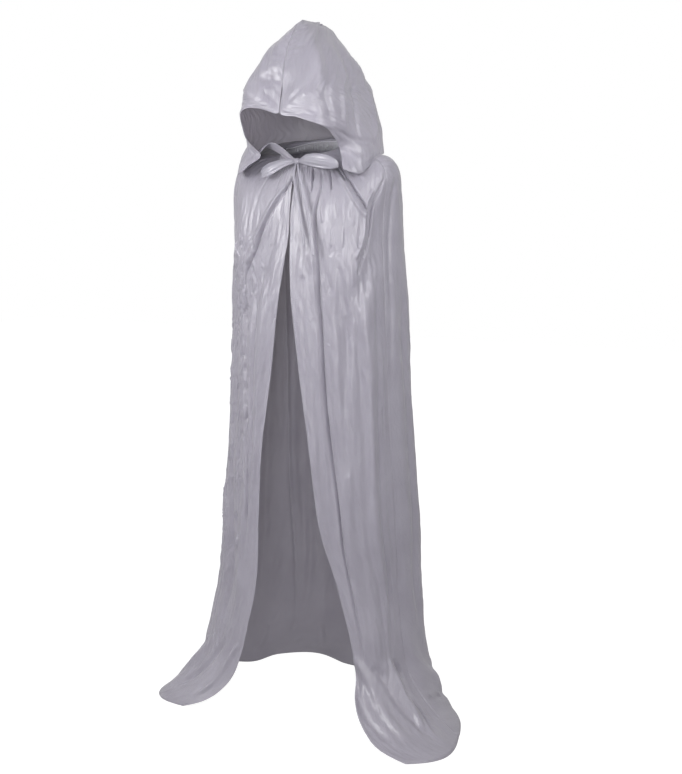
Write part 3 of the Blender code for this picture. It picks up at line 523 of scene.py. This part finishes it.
# Hood: two mirrored halves of the same satin, sewn together from the brow over the peak and down the back,
# with a narrow hem round the face. It is so deep that it droops over the shoulders in a soft fold.
# Each section's widths and reaches, squareness in front and behind, distance of the face edge from the
# middle, and heights along the half from the edge to the middle of the back.
HoodSection = namedtuple("HoodSection", "width front back middle square_front square_back edge "
                                        "at_edge at_turn at_quarter at_side at_back")
HOOD = [
    HoodSection(0.0885, 0.0885, 0.086, 0.0, 2.0, 2.0, 0.0030, 1.469, 1.470, 1.481, 1.503, 1.525),
    HoodSection(0.0900, 0.0905, 0.088, 0.0, 2.0, 2.0, 0.0060, 1.475, 1.478, 1.491, 1.514, 1.536),
    HoodSection(0.1350, 0.1050, 0.122, 0.0, 2.1, 2.1, 0.0600, 1.467, 1.476, 1.501, 1.523, 1.530),
    HoodSection(0.1780, 0.1180, 0.146, -0.020, 2.8, 2.2, 0.1300, 1.457, 1.464, 1.484, 1.500, 1.482),
    HoodSection(0.1930, 0.1350, 0.150, -0.030, 3.2, 2.2, 0.1520, 1.445, 1.435, 1.469, 1.491, 1.464),
    HoodSection(0.1920, 0.1320, 0.158, -0.030, 3.2, 2.2, 0.1470, 1.456, 1.450, 1.481, 1.501, 1.473),
    HoodSection(0.1880, 0.1080, 0.160, -0.025, 2.8, 2.2, 0.1310, 1.487, 1.486, 1.500, 1.520, 1.504),
    HoodSection(0.1810, 0.1310, 0.162, -0.010, 2.4, 2.2, 0.1275, 1.511, 1.514, 1.529, 1.547, 1.536),
    HoodSection(0.1720, 0.1850, 0.162, 0.0, 2.3, 2.2, 0.1285, 1.533, 1.542, 1.557, 1.569, 1.570),
    HoodSection(0.1640, 0.2100, 0.163, 0.0, 2.6, 2.2, 0.1250, 1.548, 1.563, 1.581, 1.592, 1.598),
    HoodSection(0.1570, 0.1980, 0.158, 0.0, 3.2, 2.2, 0.1000, 1.560, 1.583, 1.604, 1.615, 1.624),
    HoodSection(0.1490, 0.1835, 0.153, 0.0, 3.8, 2.2, 0.0550, 1.574, 1.603, 1.626, 1.638, 1.649),
    HoodSection(0.1410, 0.1800, 0.146, 0.0, 4.2, 2.2, 0.0002, 1.587, 1.622, 1.648, 1.659, 1.672),
    HoodSection(0.1230, 0.1660, 0.130, 0.0, 4.4, 2.2, 0.0002, 1.645, 1.663, 1.682, 1.690, 1.702),
    HoodSection(0.1050, 0.1550, 0.110, -0.005, 4.2, 2.2, 0.0002, 1.701, 1.707, 1.715, 1.721, 1.732),
    HoodSection(0.0810, 0.1370, 0.103, -0.012, 3.4, 2.1, 0.0002, 1.747, 1.749, 1.752, 1.755, 1.764),
    HoodSection(0.0510, 0.1120, 0.096, -0.018, 2.7, 2.0, 0.0002, 1.785, 1.786, 1.787, 1.788, 1.793),
    HoodSection(0.0270, 0.0860, 0.085, -0.012, 2.2, 2.0, 0.0002, 1.812, 1.812, 1.812, 1.813, 1.815),
    HoodSection(0.0006, 0.0620, 0.044, -0.010, 2.0, 2.0, 0.0002, 1.828, 1.828, 1.828, 1.828, 1.828),
]

# The hood is turned a little to the wearer's left, so the face edge of its right half sits higher. Beside
# the neck that half stands up before it turns over. Rows of the hood's table that differ there: distance of
# the edge from the middle, and height at the edge, just behind it and at the front quarter.
RightFront = namedtuple("RightFront", "row edge at_edge at_turn at_quarter")
RIGHT_FRONT = [
    RightFront(2, 0.0820, 1.519, 1.510, 1.508), RightFront(3, 0.1340, 1.464, 1.465, 1.485),
    RightFront(4, 0.1540, 1.441, 1.436, 1.469), RightFront(5, 0.1300, 1.461, 1.452, 1.483),
    RightFront(6, 0.1060, 1.485, 1.487, 1.501), RightFront(9, 0.1300, 1.577, 1.581, 1.588),
    RightFront(10, 0.1020, 1.599, 1.603, 1.611), RightFront(11, 0.0550, 1.600, 1.614, 1.631),
]


# Shares of the way from the face to the back where the table gives heights.
HEIGHTS_AT = [0.0, 0.1, 0.25, 0.5, 1.0]

# The halves meet in front from this row up to the peak, and lie this far from the middle at the seam.
FIRST_CLOSED_ROW = 12
BESIDE_SEAM = 0.0001
HOOD_ROWS = 176
HOOD_COLUMNS = 134


def neck_height(x, y):
    """Height of the neck seam over a point of its outline, from the origin's level."""
    side = np.minimum(np.abs(x / CAPE[0].left), 1.0) ** SHOULDER_RIDGE
    end = np.where(y < 0, CAPE[0].at_front, CAPE[0].at_back)
    return CAPE[0].at_side * side + end * (1 - side) - NECK_HEIGHT


def hood_surface(table, row, count):
    """Half the hood, on the left: in each row a superellipse about its own middle, from the opening edge or
    the seam in front to the middle of the back, at heights read along it from the table."""
    at = {name: smooth_curve(np.arange(len(table)), column, row)
          for name, column in zip(HoodSection._fields, zip(*table))}
    dense = np.linspace(180.0, 0.0, 721)[None, :] + 0 * row
    front = dense > 90
    depth = np.where(front, at["middle"] + at["front"], at["back"] - at["middle"])
    square = np.where(front, at["square_front"], at["square_back"])
    reach = superellipse(dense, np.maximum(at["width"], 0.0004), np.maximum(depth, 0.0004), square)
    x, y = reach * np.sin(np.radians(dense)), at["middle"] + reach * np.cos(np.radians(dense))
    heights = [at[name] for name in ("at_edge", "at_turn", "at_quarter", "at_side", "at_back")]
    lines = []
    for i in range(len(row)):
        start = np.interp(max(at["edge"][i, 0], BESIDE_SEAM), x[i, :361], np.arange(361))
        where = np.concatenate([[start], np.arange(int(start) + 1, 721)])
        plan = np.column_stack([np.interp(where, np.arange(721), values) for values in (x[i], y[i])])
        along = gone(plan, 0)
        band = HEM_BAND * min(1, along[-1] / 0.1)
        wanted = np.concatenate([band[:-1], np.linspace(band[-1], along[-1], count)])
        height = smooth_curve(HEIGHTS_AT, [column[i, 0] for column in heights], wanted / along[-1])
        placed = [np.interp(wanted, along, values) for values in plan.T]
        lines.append(np.column_stack(placed + [height - NECK_HEIGHT]))
    points = np.array(lines)
    seam = neck_height(points[0, :, 0], points[0, :, 1])
    lift = np.clip(1 - row / 1.0, 0, 1)
    points[..., 2] += lift * (seam + 0.0003 - points[0, :, 2])[None, :]
    return points


# Creases of the hood run through places given by share of the way from the face to the back, and by row of
# the table: soft folds that fall from the peak, folds where the hood droops, and puckers along the seam.
CREASES_HOOD_LEFT = [
    Crease(((.18, 15.8), (.23, 13), (.22, 12), (.13, 11), (.05, 10)), .0080, .0050),
    Crease(((.27, 15.6), (.305, 13), (.28, 12), (.185, 11), (.108, 10), (.04, 9.1)), .0095, -.0058),
    Crease(((.38, 15.5), (.435, 13), (.385, 12), (.29, 11), (.215, 10), (.146, 9),
            (.077, 8)), .0100, .0050),
    Crease(((.48, 15.4), (.50, 13.5), (.48, 12), (.385, 11), (.32, 10), (.25, 9), (.19, 8),
            (.14, 7)), .0110, -.0054),
    Crease(((.60, 15.2), (.62, 12.5), (.52, 10), (.40, 8), (.30, 6.6)), .0130, .0050),
    Crease(((.74, 15.2), (.76, 12), (.70, 9), (.62, 7)), .0140, -.0054),
    Crease(((.88, 15), (.88, 11), (.84, 7.5)), .0140, .0046),
    Crease(((.05, 8.2), (.14, 7.0), (.30, 6.0)), .0080, -.0038),
    Crease(((.04, 6.6), (.12, 5.6), (.24, 5.0)), .0070, .0030),
    Crease(((.55, 6.6), (.72, 5.8), (.90, 5.9)), .0110, -.0042),
    Crease(((.06, 12.3), (.16, 12.6), (.24, 12.2)), .0080, -.0030),
]
CREASES_HOOD_RIGHT = [
    Crease(((.01, 14.7), (.08, 14.5), (.20, 13.9), (.30, 13.2)), .0070, -.0034),
    Crease(((.01, 14.1), (.10, 13.9), (.22, 13.3)), .0065, .0028),
    Crease(((.01, 13.4), (.10, 13.3), (.24, 12.8)), .0065, -.0028),
    Crease(((.02, 12.8), (.12, 12.7), (.26, 12.1)), .0065, .0025),
    Crease(((.20, 15.5), (.30, 13.4), (.34, 11.6)), .0120, .0031),
    Crease(((.34, 15.4), (.40, 13), (.42, 10.5), (.36, 8)), .0120, -.0037),
    Crease(((.50, 15.2), (.54, 12), (.50, 9)), .0130, .0034),
    Crease(((.66, 15.2), (.68, 12), (.64, 8.5)), .0140, -.0037),
    Crease(((.84, 15), (.84, 11), (.80, 7.5)), .0140, .0031),
    Crease(((.05, 7.6), (.16, 6.6), (.34, 5.8)), .0080, -.0028),
    Crease(((.55, 6.6), (.72, 5.8), (.90, 5.9)), .0110, -.0028),
]


def seam_puckers(seed, lowest):
    """Short uneven creases that run away from the centre seam, closer together near the peak."""
    chance = np.random.default_rng(seed)
    made = []
    for row in np.concatenate([np.arange(lowest, 15.4, 0.45), np.arange(15.4, 17, 0.3)]):
        reach = chance.uniform(0.05, 0.17)
        tilt = chance.uniform(-0.25, 0.15)
        path = ((0.005, row), (reach / 2, row + tilt / 2), (reach, row + tilt))
        half_width = chance.uniform(0.0034, 0.0056)
        made.append(Crease(path, half_width, chance.choice([-1, -1, 1]) * chance.uniform(0.0010, 0.0024)))
    return made


def hood_half(name, side, table, creases, puckered_from, seed):
    """One half of the hood: its surface with creases, a shallow groove at the seam and a hem round the face.
    The right half is worked out on the left and mirrored."""
    row = np.interp(np.linspace(0, 1, HOOD_ROWS), hood_spacing, np.arange(len(HOOD)))[:, None]
    points = hood_surface(table, row, HOOD_COLUMNS)
    across, down = gone(points, 1), gone(points, 0)
    share = across / across[:, -1:]
    free = np.clip((row - 0.6) / 1.5, 0, 1) * np.clip((18 - row) / 1.5, 0, 1)
    moved = ripples(across, down, seed, 0.0010, (0.06, 0.16), (0.08, 0.40)) * free
    moved += ripples(across, down, seed + 1, 0.0005, (0.012, 0.03), (0.04, 0.15)) * free
    for crease in creases + seam_puckers(seed + 2, puckered_from):
        cells = [(i, abs(share[i] - wanted).argmin())
                 for wanted, i in ((place[0], abs(row[:, 0] - place[1]).argmin()) for place in crease.path)]
        moved += crease_reach(across, down, cells, crease)
    moved -= 0.0010 * np.exp(-(points[..., 0] / 0.0030) ** 2) * free
    moved -= HEM_GROOVE * np.exp(-((across - 0.0100) / 0.0022) ** 2) * (row < FIRST_CLOSED_ROW)
    points = points + outward(points) * moved[..., None]
    points[..., 0] = np.maximum(points[..., 0], BESIDE_SEAM)
    points[:, -1, 0] = BESIDE_SEAM
    points[row[:, 0] >= FIRST_CLOSED_ROW, 0, 0] = BESIDE_SEAM
    piece = cloth_piece(name + "_cloth", points * (side, 1, 1), (satin_face, satin_back))
    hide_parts(name)


hood_spacing = gone(np.array([[s.width, s.back, s.at_side] for s in HOOD]), 0)
hood_spacing = hood_spacing / hood_spacing[-1]
right_table = list(HOOD)
for change in RIGHT_FRONT:
    changed = change._asdict()
    place = changed.pop("row")
    right_table[place] = HOOD[place]._replace(**changed)
hood_half("hood_left", 1, HOOD, CREASES_HOOD_LEFT, 14.4, 51)
hood_half("hood_right", -1, right_table, CREASES_HOOD_RIGHT, 12.4, 61)


# Casing: the band inside the neckline that the tie runs through. It is a strip of the same satin, sewn on
# along both edges and drawn up into fine gathers. It reaches down 1.6 rows of the cape's table.
BAND_DROP = 1.6
RIBBON_THICK = 0.0005


def neck_band(share, drop):
    """The inside of the neckline: the neck's outline moved in, with fine uneven gathers pressed across it."""
    bearing = share * 360.0 - 180.0
    points = cape_surface(bearing, drop)
    chance = np.random.default_rng(71)
    moved = np.zeros_like(bearing)
    for middle in np.arange(-180.0, 180.0, 4.6):
        half = chance.uniform(0.9, 1.6)
        depth = chance.uniform(0.0010, 0.0026)
        moved += depth * np.exp(-((bearing - middle - chance.uniform(-1, 1)) / half) ** 2)
    puffed = np.sin(pi * np.clip(drop / BAND_DROP, 0.10, 0.90))
    return points - outward(points) * (0.0011 + moved * puffed)[..., None]


# Light comes through the single cloth behind it, so its satin is drawn a few shades lighter than the cape's:
# painted light, not a lighter cloth.
casing_satin_painted_light = woven("Gathered casing satin", "#B6B3BE", "#CAC7D2", 0.34, 0.50, 0.20, 0.60)
share, drop = np.meshgrid(np.linspace(0.006, 0.994, 620), np.linspace(0.0, BAND_DROP, 19))
casing = cloth_piece("casing_band", neck_band(share, drop), (casing_satin_painted_light, casing_satin_painted_light), RIBBON_THICK)
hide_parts("neck_casing")


# Piping: the seam allowance at the top of the casing, bound in a narrow bias strip of the ribbon's satin.
# It is stretched smooth round the edge. Its satin is drawn much lighter than the ribbon's: a painted
# highlight, one fine line.
bias_strip_painted_highlight = woven("Satin bias binding", "#C4C1CC", "#D8D5E0", 0.30, 0.20, 0.20, 0.30)
PIPING_RADIUS = 0.0017


def tube(name, centre, radius, sides, material):
    """A closed tube of even radius along a line of points, with a fan over each end."""
    ahead = np.gradient(centre, axis=0)
    ahead /= np.linalg.norm(ahead, axis=1, keepdims=True)
    flat = np.cross(ahead, (0.0, 0.0, 1.0))
    flat /= np.linalg.norm(flat, axis=1, keepdims=True)
    upright = np.cross(flat, ahead)
    turn = np.linspace(0, 2 * pi, sides, endpoint=False)
    level, rising = np.cos(turn)[None, :, None], np.sin(turn)[None, :, None]
    ring = radius * (flat[:, None] * level + upright[:, None] * rising)
    points = (centre[:, None] + ring).reshape(-1, 3)
    index = np.arange(len(points)).reshape(len(centre), sides)
    after = np.roll(index, -1, axis=1)
    quads = np.stack([index[:-1], index[1:], after[1:], after[:-1]], axis=-1).reshape(-1, 4)
    mesh = bpy.data.meshes.new(name)
    mesh.from_pydata(points.tolist(), [], quads.tolist() + [index[0].tolist(), index[-1, ::-1].tolist()])
    mesh.shade_smooth()
    mesh.uv_layers.new(name="cloth")
    mesh.materials.append(material)
    piece = bpy.data.objects.new(name, mesh)
    bpy.context.scene.collection.objects.link(piece)
    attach(piece, "root")
    return piece


turn = np.linspace(-pi, pi, 361)[4:-4]
bound = np.column_stack([0.0858 * np.sin(turn), np.where(np.cos(turn) < 0, 0.0858, 0.0833) * np.cos(turn)])
bound = np.column_stack([bound, neck_height(bound[:, 0], bound[:, 1]) + 0.0014 + 0.0003 * np.sin(61 * turn)])
piping = tube("neck_binding", bound, PIPING_RADIUS, 10, bias_strip_painted_highlight)
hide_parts("neck_piping")


# Tie: a wide soft satin ribbon from each end of the casing, tied in a bow at the throat. The loops puff open
# and the two tails hang down the front, rolled narrow. The ribbon is a little lighter than the cape.
satin_ribbon = woven("Satin ribbon", "#8B8893", "#A29FAB", 0.30, 0.60, 0.20, 0.40)
RibbonPoint = namedtuple("RibbonPoint", "x y z width")
LOOP_LEFT = [
    RibbonPoint(0.0126, -0.1017, -0.0110, 0.009), RibbonPoint(0.0450, -0.1170, -0.0080, 0.027),
    RibbonPoint(0.0900, -0.1250, -0.0120, 0.036), RibbonPoint(0.1230, -0.1220, -0.0190, 0.027),
    RibbonPoint(0.1350, -0.1160, -0.0240, 0.011), RibbonPoint(0.1220, -0.1110, -0.0230, 0.020),
    RibbonPoint(0.0850, -0.1080, -0.0180, 0.026), RibbonPoint(0.0450, -0.1030, -0.0120, 0.016),
    RibbonPoint(0.0126, -0.0990, -0.0110, 0.008),
]
LOOP_RIGHT = [
    RibbonPoint(-0.0046, -0.1017, -0.0110, 0.009), RibbonPoint(-0.0320, -0.1150, -0.0170, 0.020),
    RibbonPoint(-0.0640, -0.1230, -0.0310, 0.028), RibbonPoint(-0.0870, -0.1190, -0.0410, 0.022),
    RibbonPoint(-0.0940, -0.1140, -0.0450, 0.010), RibbonPoint(-0.0800, -0.1105, -0.0380, 0.017),
    RibbonPoint(-0.0450, -0.1050, -0.0240, 0.015), RibbonPoint(-0.0046, -0.0990, -0.0120, 0.008),
]
TAIL_LONG = [
    RibbonPoint(0.0068, -0.0985, -0.0180, 0.005), RibbonPoint(0.0190, -0.1130, -0.0450, 0.006),
    RibbonPoint(0.0400, -0.1270, -0.0900, 0.007), RibbonPoint(0.0580, -0.1380, -0.1400, 0.009),
    RibbonPoint(0.0720, -0.1450, -0.1950, 0.010), RibbonPoint(0.0820, -0.1500, -0.2500, 0.007),
]
TAIL_SHORT = [
    RibbonPoint(0.0010, -0.0985, -0.0180, 0.005), RibbonPoint(0.0040, -0.1130, -0.0480, 0.006),
    RibbonPoint(0.0190, -0.1270, -0.0950, 0.007), RibbonPoint(0.0340, -0.1380, -0.1450, 0.008),
    RibbonPoint(0.0450, -0.1440, -0.1900, 0.008), RibbonPoint(0.0530, -0.1480, -0.2250, 0.006),
]


def ribbon(name, route, broad, cup, steps, seed):
    """A ribbon along a smooth route: centre(s) + t * half width(s) * side(s) + cup * (1 - t^2) * out(s), with
    soft lengthwise creases that fan out from the knot."""
    stations = np.arange(len(route))
    where = np.linspace(0, len(route) - 1, steps)
    centre = np.column_stack([smooth_curve(stations, column, where) for column in list(zip(*route))[:3]])
    width = smooth_curve(stations, [point.width for point in route], where)
    ahead = np.gradient(centre, axis=0)
    ahead /= np.linalg.norm(ahead, axis=1, keepdims=True)
    out = np.cross(ahead, broad)
    out /= np.linalg.norm(out, axis=1, keepdims=True)
    side = np.cross(out, ahead)
    t = np.linspace(-1, 1, 25)
    chance = np.random.default_rng(seed)
    wrinkle = sum(chance.uniform(0.3, 1.0) * np.sin(t * k * 2.3 + chance.uniform(0, 6.28))[None, :]
                  * (0.5 + 0.5 * np.sin(where * chance.uniform(0.8, 1.9) + chance.uniform(0, 6.28)))[:, None]
                  for k in (2, 3, 5))
    bulge = (cup * (1 - t ** 2)[None, :] + 0.0012 * wrinkle) * (width / width.max())[:, None]
    sideways = side[:, None] * (width[:, None] / 2 * t[None, :])[..., None]
    points = centre[:, None] + sideways + out[:, None] * bulge[..., None]
    piece = cloth_piece(name + "_satin", points, (satin_ribbon, satin_ribbon), RIBBON_THICK)
    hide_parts(name)
    return piece


ribbon("tie_loop_left", LOOP_LEFT, (0.0, 0.0, 1.0), 0.005, 120, 81)
ribbon("tie_loop_right", LOOP_RIGHT, (0.0, 0.0, 1.0), 0.004, 110, 82)
ribbon("tie_tail_long", TAIL_LONG, (1.0, 0.0, 0.0), 0.002, 90, 83)
ribbon("tie_tail_short", TAIL_SHORT, (1.0, 0.0, 0.0), 0.002, 80, 84)


# Knot: the ribbon wrapped once round itself at the throat and pulled tight, with its folds running over it.
# It is a closed ball of satin, wider than it is high: radius 1, swollen by two waves round its long axis.
KNOT = np.array([0.0040, -0.0972, -0.0110])
KNOT_HALF = np.array([0.0090, 0.0064, 0.0080])
around, over = np.meshgrid(np.linspace(0, 2 * pi, 64, endpoint=False), np.linspace(0.04, pi - 0.04, 40))
swell = 1 + 0.07 * np.sin(5 * around + 1.2 * np.sin(over)) * np.sin(over)
swell += 0.05 * np.sin(9 * around + 2 * over)
ball = np.stack([np.cos(over), np.sin(over) * np.cos(around), np.sin(over) * np.sin(around)], axis=-1)
ball = ball * swell[..., None] * KNOT_HALF + KNOT
index = np.arange(ball[..., 0].size).reshape(ball.shape[:2])
after = np.roll(index, -1, axis=1)
quads = np.stack([index[:-1], after[:-1], after[1:], index[1:]], axis=-1).reshape(-1, 4)
mesh = bpy.data.meshes.new("tie_knot_satin")
ends = [index[0, ::-1].tolist(), index[-1].tolist()]
mesh.from_pydata(ball.reshape(-1, 3).tolist(), [], quads.tolist() + ends)
mesh.shade_smooth()
mesh.uv_layers.new(name="cloth")
mesh.materials.append(satin_ribbon)
knot = bpy.data.objects.new("tie_knot_satin", mesh)
bpy.context.scene.collection.objects.link(knot)
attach(knot, "root")
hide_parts("tie_knot")


# Studio: a plain white floor and surround, which look white to the camera but give the cloth less light, so
# that it darkens towards the floor. Three soft lights with grids: the main one from the wearer's right, a
# weak one beside the camera that reaches into the neck, and one from above on the wearer's left.
FLOOR_HALF = 9.0
FLOOR = -NECK_HEIGHT - 0.0015
floor_mesh = bpy.data.meshes.new("studio_floor")
corners = [(FLOOR_HALF * x, FLOOR_HALF * y, FLOOR) for x, y in ((-1, -1), (1, -1), (1, 1), (-1, 1))]
floor_mesh.from_pydata(corners, [], [(0, 1, 2, 3)])
floor = bpy.data.objects.new("studio_floor", floor_mesh)
bpy.context.scene.collection.objects.link(floor)
white = bpy.data.materials.new("Matt white paper")
white.use_nodes = True
paper = white.node_tree.nodes["Principled BSDF"]
paper.inputs["Base Color"].default_value = linear("#707070")
paper.inputs["Emission Color"].default_value = linear("#FFFFFF")
paper.inputs["Roughness"].default_value = 0.95
lit = add_node(white, "ShaderNodeMapRange", {
    "Value": add_node(white, "ShaderNodeLightPath").outputs["Is Camera Ray"], "To Min": 0.24, "To Max": 0.97})
white.node_tree.links.new(lit.outputs["Result"], paper.inputs["Emission Strength"])
floor_mesh.materials.append(white)

world = bpy.data.worlds.new("Studio")
world.use_nodes = True
surround = world.node_tree.nodes["Background"]
surround.inputs["Color"].default_value = (1.0, 1.0, 1.0, 1.0)
surround.inputs["Strength"].default_value = 0.56
backdrop = world.node_tree.nodes.new("ShaderNodeBackground")
backdrop.inputs["Color"].default_value = (1.0, 1.0, 1.0, 1.0)
seen = world.node_tree.nodes.new("ShaderNodeLightPath")
choose = world.node_tree.nodes.new("ShaderNodeMixShader")
world.node_tree.links.new(seen.outputs["Is Camera Ray"], choose.inputs["Fac"])
world.node_tree.links.new(surround.outputs[0], choose.inputs[1])
world.node_tree.links.new(backdrop.outputs[0], choose.inputs[2])
world.node_tree.links.new(choose.outputs[0], world.node_tree.nodes["World Output"].inputs["Surface"])
bpy.context.scene.world = world
bpy.context.scene.view_settings.view_transform = "Standard"


def softbox(name, place, aim, size, power):
    """A square area light at a place, turned to face a point."""
    light = bpy.data.lights.new(name, "AREA")
    light.shape, light.size, light.energy = "SQUARE", size, power
    light.spread = radians(110)
    thing = bpy.data.objects.new(name, light)
    bpy.context.scene.collection.objects.link(thing)
    away = np.array(place) - np.array(aim)
    thing.location = place
    tilt = np.arctan2(np.hypot(away[0], away[1]), away[2])
    thing.rotation_euler = (tilt, 0.0, np.arctan2(away[0], -away[1]))


softbox("Key", (-1.1, -2.1, 0.4), (0.0, 0.0, -0.40), 0.9, 14.0)
softbox("Front", (1.1, -2.4, 0.0), (0.0, 0.0, 0.12), 0.7, 8.5)
softbox("Top", (1.9, -1.1, 1.0), (0.0, 0.0, 0.15), 1.0, 11.0)


# Camera: the photograph's view, from 30 degrees round to the wearer's left and 1.36 m above the floor. It is
# turned so that the neck falls where it is in the picture, which has a focal length of 1306 of its pixels.
FOCAL_PIXELS = 1306
DOWN_PIXELS = 183
RIGHT_PIXELS = 26
DISTANCE = 3.5
AROUND = radians(30)
lens = bpy.data.cameras.new("Camera")
lens.sensor_width, lens.lens = 36.0, 60.75
camera = bpy.data.objects.new("Camera", lens)
bpy.context.scene.collection.objects.link(camera)
camera.location = (DISTANCE * sin(AROUND), -DISTANCE * cos(AROUND), -0.12)
camera.rotation_euler = (pi / 2 - atan(DOWN_PIXELS / FOCAL_PIXELS), 0.0,
                         AROUND - atan(RIGHT_PIXELS / FOCAL_PIXELS))
bpy.context.scene.camera = camera
